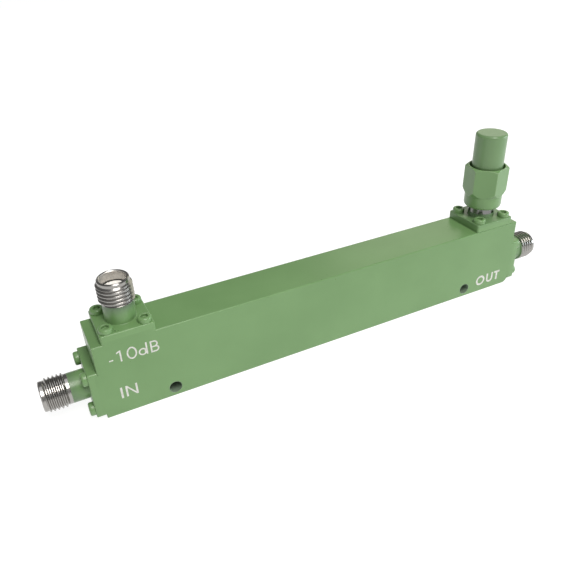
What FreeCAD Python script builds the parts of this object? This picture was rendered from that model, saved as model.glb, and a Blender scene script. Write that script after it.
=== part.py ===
import FreeCAD, Part
import os

import Sketcher

os.makedirs("parts", exist_ok=True)
doc = FreeCAD.newDocument("directional_coupler")

# Frame: X runs along the block from the input to the output, Y to the rear, Z up.
# The origin is on the surface it stands on, midway along the block, under the axes of the four ports.

# Driving dimensions: millimetres, degrees for the turns and plain counts for the rows of screws.
DIMENSIONS = {
    # Machined block.
    "body_length": 95.0,
    "body_depth": 9.6,
    "body_height": 15.7,
    "edge_round": 0.2,
    "foot_round": 1.4,
    "port_wall": 3.0,
    "cavity_drop": 1.7,
    "cutter_radius": 1.0,
    "air_bore_radius": 1.46,
    "mount_hole_radius": 1.2,
    "mount_hole_inset": 13.1,
    "mount_hole_height": 1.95,
    # Cover let into the rear of the block, and its two rows of countersunk screws.
    "cover_ledge": 0.6,
    "cover_gap": 0.05,
    "cover_screw_length": 8.0,
    "cover_screw_head_radius": 1.5,
    "cover_screw_head_height": 0.7,
    "cover_screw_pitch": 13.0,
    "lower_row_count": 5,
    "upper_row_count": 6,
    "lower_row_drop": 1.6,
    "upper_row_drop": 1.4,
    # Stripline: two boards with the copper lines between them.
    "board_thickness": 1.57,
    "board_gap": 0.1,
    "tail_gap": 0.2,
    "stack_gap": 0.03,
    "strip_thickness": 0.2,
    "strip_width": 1.9,
    "coupling_gap": 0.2,
    "strip_mitre": 1.2,
    "strip_end_gap": 0.3,
    # Flange of a port and its four screws.
    "flange_side": 9.6,
    "flange_thickness": 1.7,
    "flange_corner": 0.4,
    "flange_rise": 0.8,
    "flange_setback": 1.8,
    "flange_screw_pitch": 6.8,
    "flange_screw_length": 3.5,
    "flange_screw_head_radius": 1.27,
    "flange_screw_head_height": 0.95,
    "screw_radius": 0.8,
    "screw_head_round": 0.35,
    "screw_clearance": 0.1,
    "thread_gap": 0.02,
    "tap_runout": 0.3,
    "socket_flats": 1.3,
    "socket_depth": 0.55,
    "cover_socket_flats": 0.9,
    "cover_socket_depth": 0.45,
    "socket_turn": 15.0,
    # Threaded jack that stands on the flange; its heights are measured from the flange's face.
    "barrel_radius": 2.79,
    "thread_radius": 3.15,
    "thread_start": 3.4,
    "nose_radius": 2.79,
    "nose_height": 8.0,
    "nose_land": 0.6,
    "nose_chamfer": 0.12,
    "bore_step": 0.25,
    "bore_depth": 1.9,
    "dielectric_radius": 2.05,
    "fit_gap": 0.01,
    # Centre contact of a jack.
    "contact_radius": 0.635,
    "contact_recess": 0.05,
    "contact_chamfer": 0.12,
    "contact_bore_radius": 0.475,
    "contact_bore_depth": 2.9,
    "contact_slot_width": 0.16,
    "contact_slot_depth": 2.3,
    "tail_length": 2.0,
    # Termination on the isolated port; its heights are measured from that port's flange face.
    "nut_start": 2.3,
    "nut_collar": 0.45,
    "nut_skirt_radius": 3.98,
    "nut_skirt_round": 0.7,
    "nut_skirt_length": 2.75,
    "nut_flats": 8.0,
    "nut_turn": 16.5,
    "nut_lower_chamfer": 1.1,
    "nut_upper_chamfer": 0.35,
    "nut_opening_gap": 0.45,
    "nut_opening_depth": 1.35,
    "cap_radius": 3.28,
    "cap_reach": 7.1,
    "cap_round": 0.55,
    "cap_floor_gap": 0.06,
    "cap_end_wall": 1.9,
    "sleeve_gap": 0.02,
    "shoulder_gap": 0.12,
    "gasket_thickness": 0.35,
    "ring_seat_rise": 1.15,
    "ring_height": 0.55,
    "ring_gap": 0.03,
    "ring_groove_depth": 0.35,
    "ring_opening": 1.2,
    "bead_length": 4.4,
    "pin_radius": 0.455,
    "pin_length": 2.0,
    "pin_point": 0.25,
    "resistor_radius": 1.1,
}

sizes = doc.addObject("Spreadsheet::Sheet", "sizes")
for row, (alias, number) in enumerate(DIMENSIONS.items(), start=1):
    sizes.set(f"A{row}", alias.replace("_", " "))
    sizes.set(f"B{row}", str(number))
    sizes.setAlias(f"B{row}", alias)
doc.recompute()

# Two coordinates this close are the same.
NEARNESS = 0.001

# Places that several pieces share, worked out from the sheet.
HALF_LENGTH = "sizes.body_length / 2"
FRONT_Y = "-sizes.flange_side / 2"
REAR_Y = "(sizes.body_depth - sizes.flange_side / 2)"
END_PORT_Z = "(sizes.flange_rise + sizes.flange_side / 2)"
TOP_PORT_X = "(sizes.body_length / 2 - sizes.flange_setback - sizes.flange_side / 2)"
MOUNT_HOLE_X = "(sizes.body_length / 2 - sizes.mount_hole_inset)"
FACE_Z = "sizes.flange_thickness"
SCREW_OFFSET = "sizes.flange_screw_pitch / 2"

CAVITY_X = "(sizes.body_length / 2 - sizes.port_wall)"
CAVITY_FLOOR = f"({END_PORT_Z} - sizes.cavity_drop)"
CAVITY_TOP = "(sizes.body_height - sizes.port_wall)"
CAVITY_FRONT_Y = "-(sizes.board_thickness + sizes.strip_thickness / 2)"
SEAT_Y = "(sizes.board_thickness + sizes.strip_thickness / 2 + sizes.stack_gap)"
COVER_X = "(sizes.body_length / 2 - sizes.port_wall + sizes.cover_ledge)"
COVER_TOP = "(sizes.body_height - sizes.port_wall + sizes.cover_ledge)"
COVER_THICKNESS = f"({REAR_Y} - {SEAT_Y})"
LOWER_ROW_X = "-(sizes.lower_row_count - 1) * sizes.cover_screw_pitch / 2"
LOWER_ROW_Z = f"({CAVITY_FLOOR} - sizes.lower_row_drop)"
UPPER_ROW_X = "-(sizes.upper_row_count - 1) * sizes.cover_screw_pitch / 2"
UPPER_ROW_Z = f"({CAVITY_TOP} - sizes.upper_row_drop)"

INSULATOR_REACH = "(sizes.port_wall - sizes.cover_ledge)"
REFERENCE_Z = "(sizes.flange_thickness + sizes.nose_height - sizes.bore_depth)"
NOSE_Z = "(sizes.flange_thickness + sizes.nose_height)"
BORE_RADIUS = "(sizes.dielectric_radius + sizes.bore_step)"
SLEEVE_RADIUS = f"({BORE_RADIUS} - sizes.sleeve_gap)"
THREAD_CLEAR_RADIUS = "(sizes.thread_radius + sizes.thread_gap)"
SHOULDER_RADIUS = f"({THREAD_CLEAR_RADIUS} - sizes.shoulder_gap)"
SHOULDER_Z = f"({NOSE_Z} + sizes.gasket_thickness)"
RING_Z = f"({NOSE_Z} + sizes.ring_seat_rise)"
NUT_BOTTOM = "(sizes.flange_thickness + sizes.nut_start)"
NUT_FLOOR = f"({RING_Z} + sizes.ring_height + sizes.nut_collar)"
NUT_TOP = f"({NUT_FLOOR} + sizes.nut_opening_depth)"
CAP_TOP = f"({NUT_TOP} + sizes.cap_reach)"
BEAD_TOP = f"({REFERENCE_Z} + sizes.bead_length)"
LOAD_BORE_TOP = f"({CAP_TOP} - sizes.cap_end_wall)"


def value(expression):
    """Number that an expression on the sheet has now."""
    return float(sizes.evalExpression(expression))


def new_body(label):
    """Empty body with the name of its sub-part."""
    body = doc.addObject("PartDesign::Body", label)
    body.Label = label
    return body


def place(body, x="0", y="0", z="0", turn=0.0):
    """Set a body down at a point, turned about the Y direction by a number of degrees."""
    body.Placement = FreeCAD.Placement(FreeCAD.Vector(), FreeCAD.Rotation(FreeCAD.Vector(0, 1, 0), turn))
    for axis, expression in zip("xyz", (x, y, z)):
        body.setExpression(f"Placement.Base.{axis}", expression)


def origin_plane(body, role):
    """One of the body's own three origin planes."""
    return next(plane for plane in body.Origin.OriginFeatures if plane.Role == role)


def sketch_on(body, name, role, x="0", y="0", z="0"):
    """Sketch on an origin plane, shifted by x and y in the plane and by z along its normal."""
    sketch = body.newObject("Sketcher::SketchObject", name)
    sketch.AttachmentSupport = (origin_plane(body, role), [""])
    sketch.MapMode = "FlatFace"
    for axis, expression in zip("xyz", (x, y, z)):
        sketch.setExpression(f"AttachmentOffset.Base.{axis}", expression)
    return sketch


def hold(sketch, element, point, kind, expression):
    """Keep one coordinate of a sketch point at an expression's value."""
    if expression == "0":
        axis = -2 if kind == "DistanceX" else -1
        sketch.addConstraint(Sketcher.Constraint("PointOnObject", element, point, axis))
        return
    index = sketch.addConstraint(Sketcher.Constraint(kind, -1, 1, element, point, value(expression)))
    sketch.setExpression(f"Constraints[{index}]", expression)


def draw_polygon(sketch, corners):
    """Closed outline through corners given as pairs of expressions."""
    points = [FreeCAD.Vector(value(x), value(y), 0) for x, y in corners]
    first = sketch.GeometryCount
    for start, end in zip(points, points[1:] + points[:1]):
        sketch.addGeometry(Part.LineSegment(start, end))
    for index in range(len(corners)):
        following = first + (index + 1) % len(corners)
        sketch.addConstraint(Sketcher.Constraint("Coincident", first + index, 2, following, 1))
    for index, (x, y) in enumerate(corners):
        hold(sketch, first + index, 1, "DistanceX", x)
        hold(sketch, first + index, 1, "DistanceY", y)


def draw_rectangle(sketch, left, right, bottom, top):
    """Rectangle between four expressions."""
    draw_polygon(sketch, [(left, bottom), (right, bottom), (right, top), (left, top)])


def draw_circle(sketch, radius, x="0", y="0"):
    """Circle with its centre and radius held by expressions."""
    centre = FreeCAD.Vector(value(x), value(y), 0)
    circle = sketch.addGeometry(Part.Circle(centre, FreeCAD.Vector(0, 0, 1), value(radius)))
    hold(sketch, circle, 3, "DistanceX", x)
    hold(sketch, circle, 3, "DistanceY", y)
    index = sketch.addConstraint(Sketcher.Constraint("Radius", circle, value(radius)))
    sketch.setExpression(f"Constraints[{index}]", radius)


def draw_hexagon(sketch, flats, turn):
    """Regular hexagon about the sketch's origin, from its width across flats."""
    corners = []
    for corner in range(6):
        angle = f"{turn} + {60 * corner}"
        corners.append((f"{flats} / sqrt(3) * cos({angle})", f"{flats} / sqrt(3) * sin({angle})"))
    draw_polygon(sketch, corners)


def finish_feature(body, feature):
    """Make a feature the body's result so far."""
    body.Tip = feature
    doc.recompute()
    return feature


def pad(body, sketch, length, reverse=False):
    """Pad along the sketch's normal, or against it."""
    feature = body.newObject("PartDesign::Pad", "pad")
    feature.Profile = sketch
    feature.setExpression("Length", length)
    feature.Reversed = reverse
    return finish_feature(body, feature)


def pocket(body, sketch, depth=None, reverse=False):
    """Pocket against the sketch's normal, or along it; with no depth it goes right through."""
    feature = body.newObject("PartDesign::Pocket", "pocket")
    feature.Profile = sketch
    feature.Reversed = reverse
    if depth is None:
        feature.Type = "ThroughAll"
    else:
        feature.setExpression("Length", depth)
    return finish_feature(body, feature)


def revolve(body, sketch, kind="PartDesign::Revolution", axis="V_Axis"):
    """Full turn of a half section about one of its sketch's axes, added or cut away."""
    feature = body.newObject(kind, "turned")
    feature.Profile = sketch
    feature.ReferenceAxis = (sketch, [axis])
    feature.Angle = 360
    return finish_feature(body, feature)


def repeat(body, originals, direction, length, count):
    """Row of copies; direction is a sketch's axis and length the whole row's."""
    feature = body.newObject("PartDesign::LinearPattern", "row")
    feature.Originals = originals
    feature.Direction = direction
    feature.setExpression("Length", length)
    feature.setExpression("Occurrences", count)
    return finish_feature(body, feature)


def mirror_ends(body, originals):
    """Same features again at the other end of the block."""
    feature = body.newObject("PartDesign::Mirrored", "other_end")
    feature.Originals = originals
    feature.MirrorPlane = (origin_plane(body, "YZ_Plane"), [""])
    return finish_feature(body, feature)


def square_of_four(body, originals, sketch, spacing):
    """Copies on the corners of a square, made from the features on its lowest corner."""
    feature = body.newObject("PartDesign::MultiTransform", "square")
    feature.Originals = originals
    steps = []
    for axis in ("H_Axis", "V_Axis"):
        step = body.newObject("PartDesign::LinearPattern", "step")
        step.Direction = (sketch, [axis])
        step.setExpression("Length", spacing)
        step.Occurrences = 2
        steps.append(step)
    feature.Transformations = steps
    return finish_feature(body, feature)


def dress_edges(body, kind, size, wanted):
    """Fillet or chamfer on the edges for which wanted(edge) holds."""
    base = body.Tip
    names = [f"Edge{index}" for index, edge in enumerate(base.Shape.Edges, start=1) if wanted(edge)]
    if not names:
        raise RuntimeError(f"{body.Label}: no edge to dress")
    feature = body.newObject(kind, "dressed_edges")
    feature.Base = (base, names)
    feature.setExpression("Radius" if kind.endswith("Fillet") else "Size", size)
    return finish_feature(body, feature)


def straight_along(edge, axis):
    """Whether an edge is a straight line parallel to one of x, y and z."""
    if len(edge.Vertexes) != 2:
        return False
    start, end = (vertex.Point for vertex in edge.Vertexes)
    span = abs(getattr(end - start, axis))
    return span > NEARNESS and abs(edge.Length - span) < NEARNESS


def near(number, expression):
    """Whether a coordinate is at an expression's value."""
    return abs(number - value(expression)) < NEARNESS


def round_rim(edge, radius, height):
    """Whether an edge is a full circle of a radius about the body's axis, at a height."""
    box = edge.BoundBox
    return near(box.XMax, radius) and near(box.ZMin, height) and near(box.ZMax, height)


def make_housing():
    """Block milled from solid: rear rebate and cavity, port bores, tapped holes, mounting holes."""
    body = new_body("housing")
    place(body)
    front = sketch_on(body, "front_outline", "XZ_Plane", z=f"-({FRONT_Y})")
    draw_rectangle(front, f"-{HALF_LENGTH}", HALF_LENGTH, "0", "sizes.body_height")
    pad(body, front, "sizes.body_depth", reverse=True)

    def upright_at_output(edge):
        return straight_along(edge, "z") and near(edge.Vertexes[0].Point.x, HALF_LENGTH)

    def foot_at_output(edge):
        corner = edge.Vertexes[0].Point
        return straight_along(edge, "y") and near(corner.x, HALF_LENGTH) and near(corner.z, "0")

    dress_edges(body, "PartDesign::Fillet", "sizes.foot_round", foot_at_output)
    dress_edges(body, "PartDesign::Fillet", "sizes.edge_round", lambda edge: not upright_at_output(edge))

    rebate = sketch_on(body, "cover_rebate", "XZ_Plane", z=f"-{REAR_Y}")
    draw_rectangle(rebate, f"-{COVER_X}", COVER_X, "-sizes.cover_ledge", COVER_TOP)
    pocket(body, rebate, COVER_THICKNESS, reverse=True)
    cavity = sketch_on(body, "cavity_outline", "XZ_Plane", z=f"-{SEAT_Y}")
    draw_rectangle(cavity, f"-{CAVITY_X}", CAVITY_X, CAVITY_FLOOR, CAVITY_TOP)
    pocket(body, cavity, f"{SEAT_Y} - {CAVITY_FRONT_Y}", reverse=True)

    def left_by_cutter(edge):
        if not straight_along(edge, "y"):
            return False
        corner = edge.Vertexes[0].Point
        in_rebate = near(abs(corner.x), COVER_X) and near(corner.z, COVER_TOP)
        in_cavity = near(abs(corner.x), CAVITY_X) and (
            near(corner.z, CAVITY_TOP) or near(corner.z, CAVITY_FLOOR))
        return in_rebate or in_cavity

    dress_edges(body, "PartDesign::Fillet", "sizes.cutter_radius", left_by_cutter)

    # One end of the block: both port bores, their tapped holes and the mounting hole.
    insulator_hole = "sizes.dielectric_radius + sizes.fit_gap"
    tap_radius = "sizes.screw_radius + sizes.thread_gap"
    tap_depth = "sizes.flange_screw_length - sizes.flange_thickness + sizes.tap_runout"
    through_wall = "sizes.port_wall + sizes.cover_gap"
    seats = (
        ("YZ_Plane", {"y": END_PORT_Z, "z": f"-{HALF_LENGTH}"}, True),
        ("XY_Plane", {"x": f"-{TOP_PORT_X}", "z": "sizes.body_height"}, False),
    )
    end_features = []
    for role, offset, inward in seats:
        bore = sketch_on(body, "insulator_bore", role, **offset)
        draw_circle(bore, insulator_hole)
        end_features.append(pocket(body, bore, INSULATOR_REACH, reverse=inward))
        air_bore = sketch_on(body, "air_bore", role, **offset)
        draw_circle(air_bore, "sizes.air_bore_radius")
        end_features.append(pocket(body, air_bore, through_wall, reverse=inward))
        taps = sketch_on(body, "flange_taps", role, **offset)
        for x in (f"-{SCREW_OFFSET}", SCREW_OFFSET):
            for y in (f"-{SCREW_OFFSET}", SCREW_OFFSET):
                draw_circle(taps, tap_radius, x, y)
        end_features.append(pocket(body, taps, tap_depth, reverse=inward))
    mounting = sketch_on(body, "mounting_hole", "XZ_Plane", z=f"-({FRONT_Y})")
    draw_circle(mounting, "sizes.mount_hole_radius", f"-{MOUNT_HOLE_X}", "sizes.mount_hole_height")
    end_features.append(pocket(body, mounting))
    mirror_ends(body, end_features)

    cover_tap_depth = f"sizes.cover_screw_length + sizes.tap_runout - {COVER_THICKNESS}"
    for x, z, count in cover_rows():
        tap = sketch_on(body, "cover_tap", "XZ_Plane", z=f"-{SEAT_Y}")
        draw_circle(tap, tap_radius, x, z)
        hole = pocket(body, tap, cover_tap_depth, reverse=True)
        repeat(body, [hole], (tap, ["H_Axis"]), f"({count} - 1) * sizes.cover_screw_pitch", count)


def cover_rows():
    """First place and count of each row of cover screws."""
    return (
        (LOWER_ROW_X, LOWER_ROW_Z, "sizes.lower_row_count"),
        (UPPER_ROW_X, UPPER_ROW_Z, "sizes.upper_row_count"),
    )


def make_rear_cover():
    """Plate in the rear rebate, flush with the block and its foot, drilled and countersunk."""
    body = new_body("rear_cover")
    place(body, y=SEAT_Y)
    outline = sketch_on(body, "cover_outline", "XZ_Plane")
    edge_x = f"({COVER_X} - sizes.cover_gap)"
    edge_top = f"({COVER_TOP} - sizes.cover_gap)"
    draw_rectangle(outline, f"-{edge_x}", edge_x, "0", edge_top)
    pad(body, outline, COVER_THICKNESS, reverse=True)

    def upper_corner(edge):
        return straight_along(edge, "y") and near(edge.Vertexes[0].Point.z, edge_top)

    dress_edges(body, "PartDesign::Fillet", "sizes.cutter_radius - sizes.cover_gap", upper_corner)
    mounting = sketch_on(body, "mounting_holes", "XZ_Plane")
    draw_circle(mounting, "sizes.mount_hole_radius", f"-{MOUNT_HOLE_X}", "sizes.mount_hole_height")
    draw_circle(mounting, "sizes.mount_hole_radius", MOUNT_HOLE_X, "sizes.mount_hole_height")
    pocket(body, mounting)

    hole_radius = "(sizes.screw_radius + sizes.screw_clearance)"
    sink_radius = "(sizes.cover_screw_head_radius + sizes.screw_clearance)"
    sink_depth = f"({sink_radius} - {hole_radius})"
    for x, z, count in cover_rows():
        section = sketch_on(body, "countersink", "YZ_Plane", y=z, z=x)
        draw_polygon(section, [
            ("0", "0"),
            (COVER_THICKNESS, "0"),
            (COVER_THICKNESS, sink_radius),
            (f"{COVER_THICKNESS} - {sink_depth}", hole_radius),
            ("0", hole_radius),
        ])
        hole = revolve(body, section, "PartDesign::Groove", "H_Axis")
        row = (origin_axis(body, "X_Axis"), [""])
        repeat(body, [hole], row, f"({count} - 1) * sizes.cover_screw_pitch", count)


def origin_axis(body, role):
    """One of the body's own three origin axes."""
    return next(axis for axis in body.Origin.OriginFeatures if axis.Role == role)


def make_cover_screws():
    """Countersunk socket screws, all alike: the upper row also clamps the boards."""
    body = new_body("cover_screws")
    place(body, y=REAR_Y)
    for x, z, count in cover_rows():
        section = sketch_on(body, "screw_section", "YZ_Plane", y=z, z=x)
        draw_polygon(section, [
            ("0", "0"),
            ("0", "sizes.cover_screw_head_radius"),
            ("-sizes.cover_screw_head_height", "sizes.screw_radius"),
            ("-sizes.cover_screw_length", "sizes.screw_radius"),
            ("-sizes.cover_screw_length", "0"),
        ])
        screw = revolve(body, section, axis="H_Axis")
        socket = sketch_on(body, "socket", "XZ_Plane", x=x, y=z)
        draw_hexagon(socket, "sizes.cover_socket_flats", "sizes.socket_turn")
        recess = pocket(body, socket, "sizes.cover_socket_depth", reverse=True)
        row = (origin_axis(body, "X_Axis"), [""])
        repeat(body, [screw, recess], row, f"({count} - 1) * sizes.cover_screw_pitch", count)


def board_outline():
    """Outline of both boards: their lower and upper corners are cut away round the solder tails."""
    tail = "(sizes.tail_length + sizes.tail_gap)"
    end = f"({CAVITY_X} - sizes.board_gap)"
    lower_step = f"({CAVITY_X} - {tail})"
    upper_step = f"({TOP_PORT_X} - sizes.contact_radius - sizes.tail_gap)"
    bottom = f"({CAVITY_FLOOR} + sizes.board_gap)"
    top = f"({CAVITY_TOP} - sizes.board_gap)"
    tab_bottom = f"({END_PORT_Z} + sizes.contact_radius + sizes.tail_gap)"
    tab_top = f"({CAVITY_TOP} - {tail})"
    right = [
        (lower_step, bottom),
        (lower_step, tab_bottom),
        (end, tab_bottom),
        (end, tab_top),
        (upper_step, tab_top),
        (upper_step, top),
    ]
    left = [(f"-{x}", z) for x, z in reversed(right)]
    return right + left


def make_boards():
    """Dielectric boards before and behind the lines, drilled for the upper row of screws."""
    places = (("front_board", CAVITY_FRONT_Y), ("rear_board", "sizes.strip_thickness / 2"))
    x, z, count = cover_rows()[1]
    for label, y in places:
        body = new_body(label)
        place(body, y=y)
        outline = sketch_on(body, "board_outline", "XZ_Plane")
        draw_polygon(outline, board_outline())
        pad(body, outline, "sizes.board_thickness", reverse=True)
        drill = sketch_on(body, "screw_hole", "XZ_Plane")
        draw_circle(drill, "sizes.screw_radius + sizes.screw_clearance", x, z)
        hole = pocket(body, drill)
        repeat(body, [hole], (drill, ["H_Axis"]), f"({count} - 1) * sizes.cover_screw_pitch", count)


def make_lines():
    """Two copper strips: the main line straight through, the coupled line turned up at both ends."""
    half_width = "sizes.strip_width / 2"
    main = new_body("main_line")
    place(main, y="-sizes.strip_thickness / 2")
    strip = sketch_on(main, "strip_outline", "XZ_Plane")
    main_end = f"({CAVITY_X} - sizes.strip_end_gap)"
    main_top = f"({END_PORT_Z} + {half_width})"
    draw_rectangle(strip, f"-{main_end}", main_end, f"{END_PORT_Z} - {half_width}", main_top)
    pad(main, strip, "sizes.strip_thickness", reverse=True)

    coupled = new_body("coupled_line")
    place(coupled, y="-sizes.strip_thickness / 2")
    strip = sketch_on(coupled, "strip_outline", "XZ_Plane")
    outer = f"({TOP_PORT_X} + {half_width})"
    inner = f"({TOP_PORT_X} - {half_width})"
    bottom = f"({main_top} + sizes.coupling_gap)"
    leg_top = f"({CAVITY_TOP} - sizes.strip_end_gap)"
    right = [
        (f"({outer} - sizes.strip_mitre)", bottom),
        (outer, f"{bottom} + sizes.strip_mitre"),
        (outer, leg_top),
        (inner, leg_top),
        (inner, f"{bottom} + sizes.strip_width"),
    ]
    left = [(f"-{x}", z) for x, z in reversed(right)]
    draw_polygon(strip, right + left)
    pad(coupled, strip, "sizes.strip_thickness", reverse=True)


def make_shell(label, **seat):
    """Flange with rounded corners, barrel, thread blank, nose and stepped bore, all one piece."""
    body = new_body(label)
    place(body, **seat)
    half_side = "sizes.flange_side / 2"
    flange = sketch_on(body, "flange_outline", "XY_Plane")
    draw_rectangle(flange, f"-{half_side}", half_side, f"-{half_side}", half_side)
    draw_circle(flange, "sizes.dielectric_radius + sizes.fit_gap")
    pad(body, flange, FACE_Z)
    dress_edges(body, "PartDesign::Fillet", "sizes.flange_corner", lambda edge: straight_along(edge, "z"))

    def face_border(edge):
        box = edge.BoundBox
        reach = max(abs(box.XMin), abs(box.XMax), abs(box.YMin), abs(box.YMax))
        on_face = near(box.ZMin, FACE_Z) and near(box.ZMax, FACE_Z)
        return on_face and reach > value("sizes.nose_radius")

    dress_edges(body, "PartDesign::Fillet", "sizes.edge_round", face_border)
    holes = sketch_on(body, "screw_holes", "XY_Plane", z=FACE_Z)
    for x in (f"-{SCREW_OFFSET}", SCREW_OFFSET):
        for y in (f"-{SCREW_OFFSET}", SCREW_OFFSET):
            draw_circle(holes, "sizes.screw_radius + sizes.screw_clearance", x, y)
    pocket(body, holes)

    chamfer = "sizes.nose_chamfer"
    thread_low = f"({FACE_Z} + sizes.thread_start)"
    thread_high = f"({NOSE_Z} - sizes.nose_land)"
    section = sketch_on(body, "jack_section", "XZ_Plane")
    draw_polygon(section, [
        ("sizes.dielectric_radius + sizes.fit_gap", "0"),
        ("sizes.barrel_radius", "0"),
        ("sizes.barrel_radius", thread_low),
        ("sizes.thread_radius", f"{thread_low} + sizes.thread_radius - sizes.barrel_radius"),
        ("sizes.thread_radius", f"{thread_high} - sizes.thread_radius + sizes.nose_radius"),
        ("sizes.nose_radius", thread_high),
        ("sizes.nose_radius", f"{NOSE_Z} - {chamfer}"),
        (f"sizes.nose_radius - {chamfer}", NOSE_Z),
        (f"{BORE_RADIUS} + {chamfer}", NOSE_Z),
        (BORE_RADIUS, f"{NOSE_Z} - {chamfer}"),
        (BORE_RADIUS, REFERENCE_Z),
        ("sizes.dielectric_radius + sizes.fit_gap", REFERENCE_Z),
    ])
    revolve(body, section)


def make_insulator(label, **seat):
    """PTFE cylinder from the reference plane through the flange into the block's wall."""
    body = new_body(label)
    place(body, **seat)
    end = sketch_on(body, "end_face", "XY_Plane", z=f"-{INSULATOR_REACH}")
    draw_circle(end, "sizes.dielectric_radius")
    draw_circle(end, "sizes.contact_radius + sizes.fit_gap")
    pad(body, end, f"{REFERENCE_Z} + {INSULATOR_REACH}")


def make_contact(label, **seat):
    """Slotted socket in front, plain pin through the insulator, half-round tail on the strip."""
    body = new_body(label)
    place(body, **seat)
    front = f"({REFERENCE_Z} - sizes.contact_recess)"
    bore_floor = f"({front} - sizes.contact_bore_depth)"
    section = sketch_on(body, "contact_section", "XZ_Plane")
    tail_end = "-(sizes.port_wall + sizes.tail_length)"
    draw_polygon(section, [
        ("0", tail_end),
        ("sizes.contact_radius", tail_end),
        ("sizes.contact_radius", f"{front} - sizes.contact_chamfer"),
        ("sizes.contact_radius - sizes.contact_chamfer", front),
        ("sizes.contact_bore_radius", front),
        ("sizes.contact_bore_radius", bore_floor),
        ("0", bore_floor),
    ])
    revolve(body, section)
    half_slot = "sizes.contact_slot_width / 2"
    reach = "2 * sizes.contact_radius"
    for x, y in ((reach, half_slot), (half_slot, reach)):
        slot = sketch_on(body, "socket_slot", "XY_Plane", z=front)
        draw_rectangle(slot, f"-{x}", x, f"-{y}", y)
        pocket(body, slot, "sizes.contact_slot_depth")
    tail = sketch_on(body, "tail_flat", "XY_Plane", z="-sizes.port_wall")
    draw_rectangle(tail, f"-{reach}", reach, f"-{reach}", "sizes.strip_thickness / 2")
    pocket(body, tail, "sizes.tail_length")


def make_flange_screws(label, **seat):
    """Four socket screws on the corners of the flange's hole square."""
    body = new_body(label)
    place(body, **seat)
    head_top = f"({FACE_Z} + sizes.flange_screw_head_height)"
    tip = f"({FACE_Z} - sizes.flange_screw_length)"
    corner = {"x": f"-{SCREW_OFFSET}", "y": f"-{SCREW_OFFSET}"}
    shank = sketch_on(body, "shank", "XY_Plane", z=tip, **corner)
    draw_circle(shank, "sizes.screw_radius")
    screw = [pad(body, shank, "sizes.flange_screw_length")]
    bevel = "sizes.screw_head_round / 3"
    rim = sketch_on(body, "head_side", "XZ_Plane", x=f"-{SCREW_OFFSET}", z=SCREW_OFFSET)
    draw_polygon(rim, [
        ("0", FACE_Z),
        ("sizes.flange_screw_head_radius", FACE_Z),
        ("sizes.flange_screw_head_radius", f"{head_top} - sizes.screw_head_round"),
        (f"sizes.flange_screw_head_radius - {bevel}", f"{head_top} - {bevel}"),
        ("sizes.flange_screw_head_radius - sizes.screw_head_round", head_top),
        ("0", head_top),
    ])
    screw.append(revolve(body, rim))
    socket = sketch_on(body, "socket", "XY_Plane", z=head_top, **corner)
    draw_hexagon(socket, "sizes.socket_flats", "sizes.socket_turn")
    screw.append(pocket(body, socket, "sizes.socket_depth"))
    square_of_four(body, screw, shank, "sizes.flange_screw_pitch")


def make_ports():
    """Four alike ports: one on each end of the block and two on top."""
    seats = {
        "input": {"x": f"-{HALF_LENGTH}", "z": END_PORT_Z, "turn": -90.0},
        "output": {"x": HALF_LENGTH, "z": END_PORT_Z, "turn": 90.0},
        "coupled": {"x": f"-{TOP_PORT_X}", "z": "sizes.body_height"},
        "isolated": {"x": TOP_PORT_X, "z": "sizes.body_height"},
    }
    for port, seat in seats.items():
        make_shell(f"{port}_shell", **seat)
        make_insulator(f"{port}_insulator", **seat)
        make_contact(f"{port}_contact", **seat)
        make_flange_screws(f"{port}_flange_screws", **seat)


def make_coupling_nut(**seat):
    """Hexagonal nut with a round skirt, chamfered corners, inner ring groove and open top."""
    body = new_body("coupling_nut")
    place(body, **seat)
    corner_radius = "(sizes.nut_flats / sqrt(3))"
    skirt_top = f"({NUT_BOTTOM} + sizes.nut_skirt_length)"
    groove_radius = f"({THREAD_CLEAR_RADIUS} + sizes.ring_groove_depth)"
    opening_radius = "(sizes.cap_radius + sizes.nut_opening_gap)"
    section = sketch_on(body, "nut_section", "XZ_Plane")
    draw_polygon(section, [
        (THREAD_CLEAR_RADIUS, NUT_BOTTOM),
        ("sizes.nut_skirt_radius", NUT_BOTTOM),
        ("sizes.nut_skirt_radius", skirt_top),
        (corner_radius, f"{skirt_top} + sizes.nut_lower_chamfer"),
        (corner_radius, f"{NUT_TOP} - sizes.nut_upper_chamfer"),
        ("sizes.nut_skirt_radius", NUT_TOP),
        (opening_radius, NUT_TOP),
        (opening_radius, NUT_FLOOR),
        (THREAD_CLEAR_RADIUS, NUT_FLOOR),
        (THREAD_CLEAR_RADIUS, f"{RING_Z} + sizes.ring_height"),
        (groove_radius, f"{RING_Z} + sizes.ring_height"),
        (groove_radius, RING_Z),
        (THREAD_CLEAR_RADIUS, RING_Z),
    ])
    revolve(body, section)

    def skirt_rim(edge):
        return round_rim(edge, "sizes.nut_skirt_radius", NUT_BOTTOM)

    skirt_wall = f"sizes.nut_skirt_radius - {THREAD_CLEAR_RADIUS}"
    skirt_round = f"min(sizes.nut_skirt_round; {skirt_wall} - sizes.thread_gap)"
    dress_edges(body, "PartDesign::Fillet", skirt_round, skirt_rim)
    flats = sketch_on(body, "flats", "XY_Plane", z=NUT_TOP)
    draw_circle(flats, "sizes.nut_flats")
    draw_hexagon(flats, "sizes.nut_flats", "sizes.nut_turn")
    pocket(body, flats, f"{NUT_TOP} - {NUT_BOTTOM}")


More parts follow.
